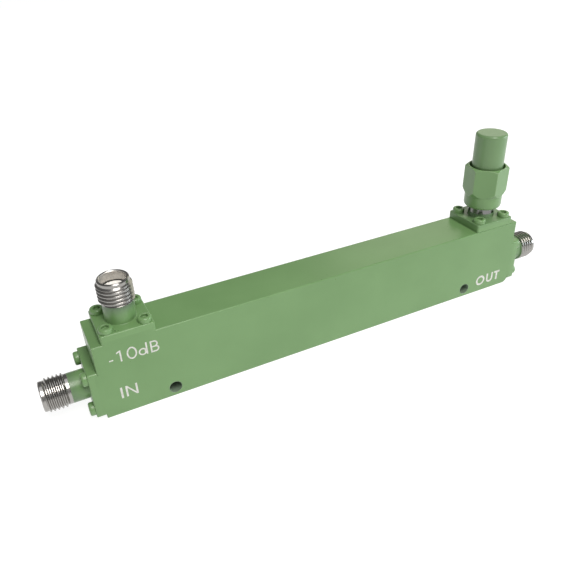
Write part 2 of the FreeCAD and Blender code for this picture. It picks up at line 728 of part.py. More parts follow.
def make_load_body(**seat):
    """Turned body: thin sleeve, shoulder, groove for the ring and plain round cap."""
    body = new_body("load_body")
    place(body, **seat)
    groove_radius = f"({SHOULDER_RADIUS} - sizes.ring_groove_depth)"
    cap_bottom = f"({NUT_FLOOR} + sizes.cap_floor_gap)"
    section = sketch_on(body, "load_section", "XZ_Plane")
    draw_polygon(section, [
        ("sizes.dielectric_radius + sizes.fit_gap", REFERENCE_Z),
        (SLEEVE_RADIUS, REFERENCE_Z),
        (SLEEVE_RADIUS, SHOULDER_Z),
        (SHOULDER_RADIUS, SHOULDER_Z),
        (SHOULDER_RADIUS, f"{RING_Z} - sizes.ring_gap"),
        (groove_radius, f"{RING_Z} - sizes.ring_gap"),
        (groove_radius, f"{RING_Z} + sizes.ring_height + sizes.ring_gap"),
        (SHOULDER_RADIUS, f"{RING_Z} + sizes.ring_height + sizes.ring_gap"),
        (SHOULDER_RADIUS, cap_bottom),
        ("sizes.cap_radius", cap_bottom),
        ("sizes.cap_radius", CAP_TOP),
        ("0", CAP_TOP),
        ("0", LOAD_BORE_TOP),
        ("sizes.dielectric_radius + sizes.fit_gap", LOAD_BORE_TOP),
    ])
    revolve(body, section)

    def cap_rim(edge):
        return round_rim(edge, "sizes.cap_radius", CAP_TOP)

    dress_edges(body, "PartDesign::Fillet", "sizes.cap_round", cap_rim)


def make_retaining_ring(**seat):
    """Split ring, half in the body's groove and half in the nut's."""
    body = new_body("retaining_ring")
    place(body, **seat)
    inner = f"{SHOULDER_RADIUS} - sizes.ring_groove_depth + sizes.ring_gap"
    outer = f"({THREAD_CLEAR_RADIUS} + sizes.ring_groove_depth - sizes.ring_gap)"
    ring = sketch_on(body, "ring", "XY_Plane", z=RING_Z)
    draw_circle(ring, inner)
    draw_circle(ring, outer)
    pad(body, ring, "sizes.ring_height")
    opening = sketch_on(body, "opening", "XY_Plane", z=f"{RING_Z} + sizes.ring_height")
    draw_rectangle(opening, "-sizes.ring_opening / 2", "sizes.ring_opening / 2", "0", outer)
    pocket(body, opening, "sizes.ring_height")


def make_load_inside(**seat):
    """Gasket on the jack's nose, and the bead, pin and resistor inside the load."""
    gasket = new_body("load_gasket")
    place(gasket, **seat)
    ring = sketch_on(gasket, "ring", "XY_Plane", z=NOSE_Z)
    draw_circle(ring, f"{SLEEVE_RADIUS} + sizes.fit_gap")
    draw_circle(ring, SHOULDER_RADIUS)
    pad(gasket, ring, "sizes.gasket_thickness")

    bead = new_body("load_insulator")
    place(bead, **seat)
    end = sketch_on(bead, "end_face", "XY_Plane", z=REFERENCE_Z)
    draw_circle(end, "sizes.dielectric_radius")
    draw_circle(end, "sizes.contact_radius + sizes.fit_gap")
    pad(bead, end, "sizes.bead_length")

    pin = new_body("load_contact")
    place(pin, **seat)
    section = sketch_on(pin, "pin_section", "XZ_Plane")
    tip = f"({REFERENCE_Z} - sizes.pin_length)"
    draw_polygon(section, [
        ("0", tip),
        ("sizes.pin_radius - sizes.pin_point", tip),
        ("sizes.pin_radius", f"{tip} + sizes.pin_point"),
        ("sizes.pin_radius", REFERENCE_Z),
        ("sizes.contact_radius", REFERENCE_Z),
        ("sizes.contact_radius", BEAD_TOP),
        ("0", BEAD_TOP),
    ])
    revolve(pin, section)

    resistor = new_body("load_resistor")
    place(resistor, **seat)
    rod = sketch_on(resistor, "rod", "XY_Plane", z=BEAD_TOP)
    draw_circle(rod, "sizes.resistor_radius")
    pad(resistor, rod, f"{LOAD_BORE_TOP} - {BEAD_TOP}")


def make_termination():
    """Load screwed on to the isolated port."""
    seat = {"x": TOP_PORT_X, "z": "sizes.body_height"}
    make_coupling_nut(**seat)
    make_load_body(**seat)
    make_retaining_ring(**seat)
    make_load_inside(**seat)


def check_document():
    """Stop if an object failed, a cut removed nothing or a sub-part has no sound shape."""
    doc.recompute()
    for thing in doc.Objects:
        if "Invalid" in thing.State or "Error" in thing.State:
            raise RuntimeError(f"{thing.Label}: failed")
        if thing.TypeId in ("PartDesign::Pocket", "PartDesign::Groove"):
            if not thing.Shape.Volume < thing.BaseFeature.Shape.Volume:
                raise RuntimeError(f"{thing.Label}: cut nothing")
    for body in sub_parts():
        if body.Shape.isNull() or not body.Shape.isValid() or not body.Shape.Solids:
            raise RuntimeError(f"{body.Label}: no valid solid")


def sub_parts():
    """Every sub-part of the coupler."""
    return [thing for thing in doc.Objects if thing.TypeId == "PartDesign::Body"]


make_housing()
make_rear_cover()
make_cover_screws()
make_boards()
make_lines()
make_ports()
make_termination()
check_document()
for sub_part in sub_parts():
    sub_part.Shape.exportStep(f"parts/{sub_part.Label}.step")
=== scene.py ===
from math import cos, pi, radians, sin, sqrt, tan

import bmesh
import bpy
from mathutils import Matrix, Vector


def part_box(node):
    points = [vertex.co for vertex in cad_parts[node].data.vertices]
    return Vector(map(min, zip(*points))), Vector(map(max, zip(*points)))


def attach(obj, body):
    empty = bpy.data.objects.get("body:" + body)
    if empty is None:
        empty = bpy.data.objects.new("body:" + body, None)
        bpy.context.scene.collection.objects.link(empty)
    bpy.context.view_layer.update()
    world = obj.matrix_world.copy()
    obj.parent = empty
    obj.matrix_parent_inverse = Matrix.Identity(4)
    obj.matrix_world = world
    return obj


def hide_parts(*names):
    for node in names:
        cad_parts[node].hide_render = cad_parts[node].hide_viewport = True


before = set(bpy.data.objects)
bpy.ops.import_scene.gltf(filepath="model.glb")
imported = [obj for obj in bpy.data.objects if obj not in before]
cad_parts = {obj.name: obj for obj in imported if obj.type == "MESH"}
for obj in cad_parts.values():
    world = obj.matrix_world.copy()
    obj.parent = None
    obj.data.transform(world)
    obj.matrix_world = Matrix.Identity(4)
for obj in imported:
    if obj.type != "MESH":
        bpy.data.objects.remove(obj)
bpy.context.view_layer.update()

MM = 0.001

# ---- Camera -----------------------------------------------------------------
# The block is seen from its front left and from above, 13 cm away, with a normal
# lens. The three directions are the camera's own, in the block's frame.
camera_place = Vector((-53.01, -92.77, 77.31)) * MM
camera_right = Vector((0.89125, -0.45221, -0.03447))
camera_up = Vector((0.26471, 0.45698, 0.84918))
camera_forward = Vector((0.36825, 0.76595, -0.52698))

lens = bpy.data.cameras.new("camera")
lens.sensor_width = 36.0
lens.lens = 38.31
lens.clip_start = 0.005
lens.clip_end = 20.0
camera = bpy.data.objects.new("camera", lens)
bpy.context.scene.collection.objects.link(camera)
camera.matrix_world = Matrix.Translation(camera_place) @ Matrix(
    (camera_right, camera_up, -camera_forward)).transposed().to_4x4()
bpy.context.scene.camera = camera


# ---- Studio -----------------------------------------------------------------
# A white light table that runs on past the picture, in a dim room, and five soft
# boxes: a strong one high in front, a wide one overhead, a cool one low to the
# right, a faint one in front and a warm one behind.
class Socket:
    """One output of a finish's nodes; arithmetic on it adds Math nodes."""

    def __init__(self, finish, source):
        self.finish = finish
        self.source = source

    def math(self, operation, *terms):
        """A Math node with these terms."""
        return self.finish.node("ShaderNodeMath", {"operation": operation}, dict(enumerate(terms)))

    def __add__(self, other):
        return self.math("ADD", self, other)

    def __sub__(self, other):
        return self.math("SUBTRACT", self, other)

    def __rsub__(self, other):
        return self.math("SUBTRACT", other, self)

    def __mul__(self, other):
        return self.math("MULTIPLY", self, other)

    def __pow__(self, other):
        return self.math("POWER", self, other)

    def __abs__(self):
        return self.math("ABSOLUTE", self)

    __radd__ = __add__
    __rmul__ = __mul__

    def at_least(self, other):
        """The larger of the two."""
        return self.math("MAXIMUM", self, other)

    def between(self, low, high):
        """0 below low, 1 above high and smooth in between."""
        settings = {"interpolation_type": "SMOOTHSTEP"}
        values = {"Value": self, "From Min": low, "From Max": high}
        return self.finish.node("ShaderNodeMapRange", settings, values)


class Finish:
    """A material with one Principled shader."""

    def __init__(self, name, **constants):
        self.material = bpy.data.materials.new(name)
        self.material.use_nodes = True
        self.tree = self.material.node_tree
        self.shader = self.tree.nodes["Principled BSDF"]
        for socket, value in constants.items():
            self.shader.inputs[socket.replace("_", " ")].default_value = value

    def node(self, kind, settings=None, values=None, output=0):
        """Add a node; its settings are made first, then its sockets get values or links."""
        made = self.tree.nodes.new(kind)
        for name, setting in (settings or {}).items():
            setattr(made, name, setting)
        for key, value in (values or {}).items():
            self.feed(made.inputs[key], value)
        return Socket(self, made.outputs[output])

    def feed(self, target, value):
        if isinstance(value, Socket):
            self.tree.links.new(value.source, target)
        else:
            target.default_value = value

    def surface(self, **links):
        """Feed the shader's own sockets."""
        for socket, value in links.items():
            self.feed(self.shader.inputs[socket.replace("_", " ")], value)

    def place(self):
        """Position in the object's own frame, in metres."""
        return self.node("ShaderNodeTexCoord", output="Object")

    def axes(self):
        """That position as three numbers."""
        parts = self.tree.nodes.new("ShaderNodeSeparateXYZ")
        self.feed(parts.inputs[0], self.place())
        return [Socket(self, output) for output in parts.outputs]

    def noise(self, size, detail=2.0):
        """Noise from 0 to 1 whose patches are about size metres across."""
        values = {"Vector": self.place(), "Scale": 0.5 / size, "Detail": detail}
        return self.node("ShaderNodeTexNoise", {}, values, "Fac")

    def mix(self, factor, first, second):
        """Colour between two colours, which the node takes at 6 and 7 and gives at 2."""
        values = {0: factor, 6: first, 7: second}
        return self.node("ShaderNodeMix", {"data_type": "RGBA"}, values, 2)

    def relief(self, height, depth, strength=1.0, normal=None):
        """Normal of a surface whose height runs from 0 to 1 over depth metres."""
        values = {"Height": height, "Distance": depth, "Strength": strength}
        if normal:
            values["Normal"] = normal
        return self.node("ShaderNodeBump", {}, values)


def link_mesh(name, form, crease=30):
    """Object from a bmesh, smooth but for edges sharper than crease degrees."""
    bmesh.ops.recalc_face_normals(form, faces=form.faces)
    mesh = bpy.data.meshes.new(name)
    form.to_mesh(mesh)
    form.free()
    for face in mesh.polygons:
        face.use_smooth = True
    mesh.set_sharp_from_angle(angle=radians(crease))
    made = bpy.data.objects.new(name, mesh)
    bpy.context.scene.collection.objects.link(made)
    return made


TABLE_REACH = 3.0
TABLE_GAP = 0.02 * MM
TABLE_GLOW = 0.90
TABLE_DARK = (0.20, 0.20, 0.20, 1)
TABLE_LIGHT = (0.22, 0.22, 0.22, 1)
WHITE = (1.0, 1.0, 1.0, 1.0)

tabletop_finish = Finish("tabletop", Roughness=0.6, Emission_Strength=TABLE_GLOW)
tabletop_finish.surface(
    Base_Color=tabletop_finish.mix(tabletop_finish.noise(0.05), TABLE_DARK, TABLE_LIGHT),
    Emission_Color=WHITE)
tabletop_form = bmesh.new()
bmesh.ops.create_grid(tabletop_form, x_segments=8, y_segments=8, size=TABLE_REACH)
tabletop = link_mesh("tabletop", tabletop_form)
tabletop.data.materials.append(tabletop_finish.material)
tabletop.location.z = -TABLE_GAP


def soft_box(name, place, aim, width, height, power, tint=WHITE[:3]):
    """Rectangular light that looks at a point, in metres and watts."""
    light = bpy.data.lights.new(name, "AREA")
    light.shape = "RECTANGLE"
    light.size = width
    light.size_y = height
    light.energy = power
    light.color = tint
    lamp = bpy.data.objects.new(name, light)
    bpy.context.scene.collection.objects.link(lamp)
    lamp.location = place
    lamp.rotation_mode = "QUATERNION"
    lamp.rotation_quaternion = (Vector(aim) - Vector(place)).to_track_quat("-Z", "Y")
    lamp.visible_camera = False


BLOCK_MIDDLE = (0.0, 0.0, 0.01)
ROOM_GLOW = 0.21

soft_box("box_above", (0.0, -0.30, 0.50), BLOCK_MIDDLE, 0.20, 0.33, 2.75, (1.0, 0.97, 0.94))
soft_box("box_overhead", (-0.03, 0.06, 0.60), BLOCK_MIDDLE, 0.45, 0.40, 0.58, (0.97, 0.98, 1.0))
soft_box("box_right", (0.40, -0.16, 0.12), (0.02, 0.0, 0.01), 0.30, 0.10, 0.85, (0.84, 0.93, 1.0))
soft_box("box_fill", (0.12, -0.55, 0.15), BLOCK_MIDDLE, 0.40, 0.30, 0.12)
soft_box("box_behind", (0.67, 0.57, 0.42), (0.03, 0.0, 0.02), 0.60, 0.50, 1.0, (1.0, 1.0, 0.82))
room = bpy.data.worlds.new("room")
room.use_nodes = True
room.node_tree.nodes["Background"].inputs["Color"].default_value = WHITE
room.node_tree.nodes["Background"].inputs["Strength"].default_value = ROOM_GLOW
bpy.context.scene.world = room
bpy.context.scene.view_settings.view_transform = "Standard"


# ---- Block and rear cover ---------------------------------------------------
# An aluminium bar milled hollow from behind, with a cover let into its rear and held
# by countersunk screws. They were sprayed together with a satin light green enamel,
# paler on the edges, where it is thin and a highlight is painted in, and thin in the
# mounting holes.
MOUNT_HOLE = (34.4, 1.95, 1.2)
GREEN = (0.147, 0.272, 0.105, 1)
THIN_AND_HIGHLIGHT_GREEN = (0.25, 0.40, 0.19, 1)
DEEP_GREEN = (0.132, 0.250, 0.093, 1)
HOLE_GREY = (0.19, 0.23, 0.20, 1)
SHADE_GREY = (0.09, 0.11, 0.09, 1)
EDGE_REACH = 0.15 * MM
EDGE_THIN_AND_HIGHLIGHT_SHARE = 0.35
ENAMEL_ROUGHNESS = 0.31
ENAMEL_RELIEF = 0.012 * MM
ENAMEL_STRENGTH = 0.6
CLOUD_SIZE = 6 * MM
SPECKLE_SIZE = 0.35 * MM
PEEL_SIZE = 0.5 * MM
GRAIN_SIZE = 0.07 * MM


def enamel_parts(finish, edge_reach=EDGE_REACH, edge_thin_and_highlight_share=EDGE_THIN_AND_HIGHLIGHT_SHARE):
    """Colour, roughness, height and softened normal of the enamel, paler near an edge: thin enamel
    and a painted highlight.
    """
    cloud = finish.noise(CLOUD_SIZE, 3.0)
    speckle = finish.noise(SPECKLE_SIZE, 2.0)
    colour = finish.mix(cloud.between(0.3, 0.7), DEEP_GREEN, GREEN)
    softened = finish.node("ShaderNodeBevel", {"samples": 4}, {"Radius": edge_reach})
    facing = finish.node("ShaderNodeNewGeometry", output="Normal")
    product = {"operation": "DOT_PRODUCT"}
    agreement = finish.node("ShaderNodeVectorMath", product, {0: softened, 1: facing}, "Value")
    # Edges are paler: the enamel is thin there, and a highlight is painted in.
    edge_thin_and_highlight = (1 - agreement).between(0.005, 0.12) * (edge_thin_and_highlight_share + 0.5 * speckle)
    colour = finish.mix(edge_thin_and_highlight, colour, THIN_AND_HIGHLIGHT_GREEN)
    roughness = ENAMEL_ROUGHNESS + 0.10 * (speckle - 0.5) + 0.06 * (cloud - 0.5)
    peel = finish.noise(PEEL_SIZE, 1.0)
    grain = finish.noise(GRAIN_SIZE, 2.0)
    return colour, roughness, 0.75 * peel + 0.25 * grain, softened


def enamel_finish(name, edge_reach=EDGE_REACH, edge_thin_and_highlight_share=EDGE_THIN_AND_HIGHLIGHT_SHARE, hole=None, painted_shade=0.0):
    """Enamel all over, greyed and darkened by the share of painted shade.

    It is thin in a hole at plus and minus x, given with its height and radius.
    """
    finish = Finish(name, IOR=1.5)
    colour, roughness, height, softened = enamel_parts(finish, edge_reach, edge_thin_and_highlight_share)
    if hole:
        hole_x, hole_z, hole_radius = hole
        x, _, z = finish.axes()
        off_x = abs(x) - hole_x * MM
        off_z = z - hole_z * MM
        distance = (off_x * off_x + off_z * off_z) ** 0.5
        inside = 1 - distance.between((hole_radius + 0.01) * MM, (hole_radius + 0.08) * MM)
        colour = finish.mix(inside * 0.7, colour, HOLE_GREY)
    if painted_shade:
        colour = finish.mix(painted_shade, colour, SHADE_GREY)
    finish.surface(
        Base_Color=colour,
        Roughness=roughness,
        Normal=finish.relief(height, ENAMEL_RELIEF, ENAMEL_STRENGTH, softened))
    return finish


enamel = enamel_finish("green_enamel")
housing_enamel = enamel_finish("housing_enamel", hole=MOUNT_HOLE)


def finish_node(node, finish):
    """Give a CAD node its finish."""
    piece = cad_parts[node]
    piece.data.materials.clear()
    piece.data.materials.append(finish.material)


finish_node("housing", housing_enamel)
for node in ("rear_cover", "cover_screws"):
    finish_node(node, enamel)

# ---- Enamel over the joints -------------------------------------------------
# The spray bridged the fine joints between the front of the block and three of
# the flanges, so there the film runs on across them with no more than a trace.
def box_of(node):
    """Lowest and highest corner of a CAD node in millimetres, to a thousandth."""
    return [[round(place / MM, 3) for place in corner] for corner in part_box(node)]


(_, FRONT, _), (HALF_LENGTH, _, BLOCK_TOP) = box_of("housing")
END_PORT_LOW, END_PORT_HIGH = box_of("output_shell")
TOP_PORT_LOW, TOP_PORT_HIGH = box_of("isolated_shell")
END_PORT_Z = (END_PORT_LOW[2] + END_PORT_HIGH[2]) / 2
TOP_PORT_X = (TOP_PORT_LOW[0] + TOP_PORT_HIGH[0]) / 2
JOINT_REACH = 0.75
FILM_PROUD = 0.012
FILM_SUNK = 0.002
TRACE_REACH = 0.16
ACROSS_STEPS = 12
ALONG_STEPS = 24


def joint_film(name, centre, half_length, upright, trace):
    """Thin film over a joint in the front, its borders sunk below the enamel round it."""
    form = bmesh.new()
    across = [JOINT_REACH * step / ACROSS_STEPS for step in range(-ACROSS_STEPS, ACROSS_STEPS + 1)]
    along = [half_length * step / ALONG_STEPS for step in range(-ALONG_STEPS, ALONG_STEPS + 1)]
    grid = []
    for length in along:
        row = []
        for width in across:
            ends = min(1.0, (half_length - abs(length)) / JOINT_REACH)
            swell = min(cos(pi / 2 * width / JOINT_REACH) ** 2, ends)
            dip = trace * ends * max(0.0, 1 - (width / TRACE_REACH) ** 2)
            proud = FILM_PROUD * swell - FILM_SUNK - dip
            x, z = (width, length) if upright else (length, width)
            row.append(form.verts.new(Vector((centre[0] + x, FRONT - proud, centre[1] + z)) * MM))
        grid.append(row)
    for row, following in zip(grid, grid[1:]):
        for index in range(len(row) - 1):
            form.faces.new((row[index], row[index + 1], following[index + 1], following[index]))
    film = link_mesh(name, form)
    film.data.materials.append(enamel.material)
    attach(film, "root")


# The film at the output stays clear of the block's rounded foot.
joint_film("joint_input", (-HALF_LENGTH, END_PORT_Z), 4.4, upright=True, trace=0.0)
joint_film("joint_output", (HALF_LENGTH, END_PORT_Z + 0.15), 4.2, upright=True, trace=0.0)
joint_film("joint_coupled", (-TOP_PORT_X, BLOCK_TOP), 4.4, upright=False, trace=0.008)

# ---- Lettering --------------------------------------------------------------
# Port markings screened on to the front in white ink: plain upright letters of
# even, thin strokes. The ink stands a hundredth of a millimetre proud.
INK_PROUD = 0.012
INK_DULL = (0.52, 0.52, 0.475, 1)
INK_BRIGHT = (0.68, 0.68, 0.635, 1)
STROKE = 0.27
ROUND_POINTS = 48


def arc(centre, reach, start, end, steps):
    """Points on an ellipse's arc, with the angles in degrees."""
    turns = [radians(start + (end - start) * step / steps) for step in range(steps + 1)]
    return [(centre[0] + reach[0] * cos(turn), centre[1] + reach[1] * sin(turn)) for turn in turns]


def ring_of(centre, outer, inner):
    """Outline and hole of a closed round letter."""
    last = 360 - 360 / ROUND_POINTS
    return [arc(centre, reach, 0, last, ROUND_POINTS - 1) for reach in (outer, inner)]


def bar(left, right, bottom, top):
    """Upright or level stroke."""
    return [[(left, bottom), (right, bottom), (right, top), (left, top)]]


def letter_n(width, height, stroke):
    """N from two uprights and a slanting stroke."""
    slant = stroke * 1.35
    low = width - stroke
    return [[(0, 0), (stroke, 0), (stroke, height - slant), (low, 0), (width, 0),
             (width, height), (low, height), (low, slant), (stroke, height), (0, height)]]


def letter_u(width, height, stroke):
    """U with a half-round foot."""
    reach = width / 2
    inner = reach - stroke
    foot = arc((reach, reach), (reach, reach), 180, 360, 24)
    inside = arc((reach, reach), (inner, inner), 360, 180, 24)
    return [[(0, height), *foot, (width, height), (width - stroke, height), *inside,
             (stroke, height)]]


def letter_t(width, height, stroke):
    """T with its stem in the middle."""
    low, high = width / 2 - stroke / 2, width / 2 + stroke / 2
    bar_bottom = height - stroke
    return [[(low, 0), (high, 0), (high, bar_bottom), (width, bar_bottom), (width, height),
             (0, height), (0, bar_bottom), (low, bar_bottom)]]


def figure_one(width, height, stroke):
    """1 with a short flag."""
    low = width - stroke
    return [[(low, 0), (width, 0), (width, height), (low, height), (0, height - stroke),
             (0, height - 2 * stroke), (low, height - 1.2 * stroke)]]


def letter_d(width, height, stroke):
    """Small d: a round bowl against a full stem."""
    reach = (width - stroke / 2) / 2
    low = width - stroke
    start = 38
    inner = reach - stroke
    outside = arc((reach, reach), (reach, reach), start, 360 - start, 36)
    inside = arc((reach, reach), (inner, inner), start + 6, 354 - start, 36)
    return [[(low, height), (low, outside[0][1]), *outside[1:-1], (low, outside[-1][1]), (low, 0),
             (width, 0), (width, height)], inside]


def letter_b(width, height, stroke):
    """B with two bowls, the lower one wider."""
    waist = height * 0.54
    upper = (height - waist + stroke) / 2
    lower = waist / 2
    top_centre = (width * 0.9 - upper, height - upper)
    low_centre = (width - lower, lower)
    top_bend = arc(top_centre, (upper, upper), 90, -60, 16)
    low_bend = arc(low_centre, (lower, lower), 60, -90, 16)
    top_hole = arc(top_centre, (upper - stroke, upper - stroke), 90, -90, 16)
    low_hole = arc(low_centre, (lower - stroke, lower - stroke), 90, -90, 16)
    return [[(0, 0), (0, height)] + top_bend + low_bend,
            [(stroke, height - stroke)] + top_hole + [(stroke, height - 2 * upper + stroke)],
            [(stroke, 2 * lower - stroke)] + low_hole + [(stroke, stroke)]]


def print_letters(name, letters):
    """One thin ink film; a letter's first loop is its border and the others are holes."""
    form = bmesh.new()
    for loops, left, bottom in letters:
        edges = []
        for loop in loops:
            points = [form.verts.new((left + x, FRONT - INK_PROUD, bottom + z)) for x, z in loop]
            edges += [form.edges.new(pair) for pair in zip(points, points[1:] + points[:1])]
        bmesh.ops.triangle_fill(form, edges=edges, use_beauty=True, use_dissolve=False)
    sheet = form.faces[:]
    raised = bmesh.ops.extrude_face_region(form, geom=sheet)
    moved = [item for item in raised["geom"] if isinstance(item, bmesh.types.BMVert)]
    bmesh.ops.translate(form, verts=moved, vec=(0, INK_PROUD, 0))
    bmesh.ops.scale(form, vec=(MM, MM, MM), verts=form.verts)
    return link_mesh(name, form)


ink = Finish("white_ink", IOR=1.45)
ink_patch = ink.noise(0.25 * MM, 3.0)
ink.surface(
    Base_Color=ink.mix(ink_patch.between(0.3, 0.8), INK_DULL, INK_BRIGHT),
    Roughness=0.45 + 0.2 * ink_patch,
    Normal=ink.relief(ink.noise(0.12 * MM), 0.004 * MM))

# Each letter: its loops, how far it starts from the block's left end, and its foot's height.
marks = {
    "mark_coupled": [
        (bar(0, 0.72, 0, 0.24), 2.48, 12.02),
        (figure_one(0.8, 2.35, STROKE), 3.89, 11.41),
        (ring_of((0.9, 1.28), (0.9, 1.28), (0.62, 1.0)), 5.62, 11.25),
        (letter_d(1.63, 2.5, STROKE), 7.67, 11.34),
        (letter_b(1.55, 2.4, STROKE), 9.83, 11.31),
    ],
    "mark_input": [
        (bar(0, 0.37, 0, 2.45), 3.21, 3.42),
        (letter_n(2.15, 2.4, 0.34), 4.14, 3.47),
    ],
    "mark_output": [
        (ring_of((1.25, 1.25), (1.25, 1.25), (0.78, 0.78)), 85.29, 1.57),
        (letter_u(1.93, 2.4, 0.46), 88.3, 1.64),
        (letter_t(1.6, 2.35, 0.49), 90.58, 1.7),
    ],
}
for mark, letters in marks.items():
    placed = [(loops, left - HALF_LENGTH, bottom) for loops, left, bottom in letters]
    lettering = print_letters(mark, placed)
    lettering.data.materials.append(ink.material)
    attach(lettering, "root")

# ---- Jacks ------------------------------------------------------------------
# Stainless jacks turned and milled in one piece with their square flanges. The
# enamel covers flange and lower barrel and stops in a wandering line; thread and
# nose were masked and stay bright. The thread is 36 to the inch, right-handed.
FLANGE_HALF = (TOP_PORT_HIGH[0] - TOP_PORT_LOW[0]) / 2
FLANGE_THICK = 1.7
FLANGE_CORNER = 0.4
FLANGE_ROUND = 0.2
# Chamfer round each flange's foot, next to nothing where the enamel fills the joint.
FLANGE_FEET = {"input": 0.05, "output": 0.008, "coupled": 0.015, "isolated": 0.08}
SCREW_OFFSET = 3.4
SCREW_PLACES = [(x, y) for x in (-SCREW_OFFSET, SCREW_OFFSET)
                for y in (-SCREW_OFFSET, SCREW_OFFSET)]
SCREW_HOLE = 0.9
SCREW_HOLE_AROUND = 32
BARREL = 2.79
COVE = 0.12
NOSE = 2.79
NOSE_TOP = TOP_PORT_HIGH[2] - BLOCK_TOP
NOSE_BREAK = 0.16
THREAD_LOW = FLANGE_THICK + 3.55
THREAD_HIGH = FLANGE_THICK + 7.3
HELIX_START = FLANGE_THICK + 3.44
RUN_IN_SLOPE = 2
RUN_OUT_SLOPE = 1.25
CREST = 3.14
ROOT = 2.77
PITCH = 0.7056
SOCKET_BORE = 2.3
SOCKET_FLOOR = NOSE_TOP - 1.9
INNER_BORE = 2.06
AROUND = 96
ROUND_STEPS = 4
NEARNESS = 0.002
# Section of the thread over one pitch, from root to root: straight flanks at 60
# degrees between a flat root and a flat crest, with small rounds at their edges.
CREST_HALF_WIDTH = 0.05
THREAD_ROUND = 0.03
THREAD_DEPTH = CREST - ROOT
FLANK = radians(30)
crest_edge = PITCH / 2 - CREST_HALF_WIDTH
bend = [(THREAD_ROUND * sin(radians(turn)), THREAD_ROUND * (1 - cos(radians(turn))))
        for turn in range(0, 61, 20)]
root_edge = crest_edge - 2 * bend[-1][0] - (THREAD_DEPTH - THREAD_ROUND) * tan(FLANK)
root_side = [(root_edge + along, up) for along, up in bend]
crest_side = [(crest_edge - along, THREAD_DEPTH - up) for along, up in reversed(bend)]
rising_half = [(0, 0), *root_side, *crest_side, (PITCH / 2, THREAD_DEPTH)]
thread_form = rising_half + [(PITCH - along, up) for along, up in reversed(rising_half[1:-1])]


def quarter(steps):
    """Angles of a quarter turn in radians, both ends with it."""
    return [radians(90 * step / steps) for step in range(steps + 1)]


def circle(form, radius, height, x=0.0, y=0.0, count=AROUND):
    """Ring of points about an upright line."""
    turns = [2 * pi * step / count for step in range(count)]
    return [form.verts.new((x + radius * cos(turn), y + radius * sin(turn), height))
            for turn in turns]


def rounded_square(form, inset, height):
    """Ring of points round the flange, drawn in by inset."""
    corner = FLANGE_CORNER - inset
    centre = FLANGE_HALF - FLANGE_CORNER
    corner_steps = 8
    points = []
    for start in (0, 90, 180, 270):
        for step in range(corner_steps + 1):
            turn = radians(start + 90 * step / corner_steps)
            middle = radians(start + 45)
            x = centre * sqrt(2) * cos(middle) + corner * cos(turn)
            y = centre * sqrt(2) * sin(middle) + corner * sin(turn)
            points.append(form.verts.new((x, y, height)))
    return points


def skin(form, rings):
    """Quads between neighbouring rings of equal count."""
    for low, high in zip(rings, rings[1:]):
        for index in range(len(low)):
            following = (index + 1) % len(low)
            form.faces.new((low[index], low[following], high[following], high[index]))


def plate(form, border, holes):
    """Flat face inside a border ring and round some holes."""
    edges = []
    for ring in [border] + holes:
        for pair in zip(ring, ring[1:] + ring[:1]):
            edges.append(form.edges.get(pair) or form.edges.new(pair))
    bmesh.ops.triangle_fill(form, edges=edges, use_beauty=True, use_dissolve=False)


def cut_thread(form, low_ring, high_ring):
    """Right-hand thread between two rings: it rises from the barrel and dies away by the nose."""
    turns_needed = int((THREAD_HIGH - HELIX_START) / PITCH) + 3
    per_turn = len(thread_form)
    columns = []
    for step in range(AROUND):
        turn = 2 * pi * step / AROUND
        column = []
        for count in range(-1, turns_needed):
            for part, rise in thread_form:
                height = HELIX_START + (count + step / AROUND) * PITCH + part
                if height <= THREAD_LOW + NEARNESS:
                    column.append(low_ring[step])
                elif height >= THREAD_HIGH - NEARNESS:
                    column.append(high_ring[step])
                else:
                    run_in = BARREL + RUN_IN_SLOPE * (height - THREAD_LOW)
                    run_out = NOSE + RUN_OUT_SLOPE * (THREAD_HIGH - height)
                    radius = min(ROOT + rise, run_in, run_out)
                    column.append(form.verts.new((radius * cos(turn), radius * sin(turn), height)))
        columns.append(column)
    length = len(columns[0])
    for step in range(AROUND):
        following = (step + 1) % AROUND
        # Where the ring closes, the helix has risen by one pitch.
        shift = per_turn if following == 0 else 0
        for index in range(length - 1):
            if index + shift + 1 >= length:
                break
            corners = (columns[step][index], columns[following][index + shift],
                       columns[following][index + shift + 1], columns[step][index + 1])
            different = list(dict.fromkeys(corners))
            if len(different) > 2 and not form.faces.get(different):
                form.faces.new(different)


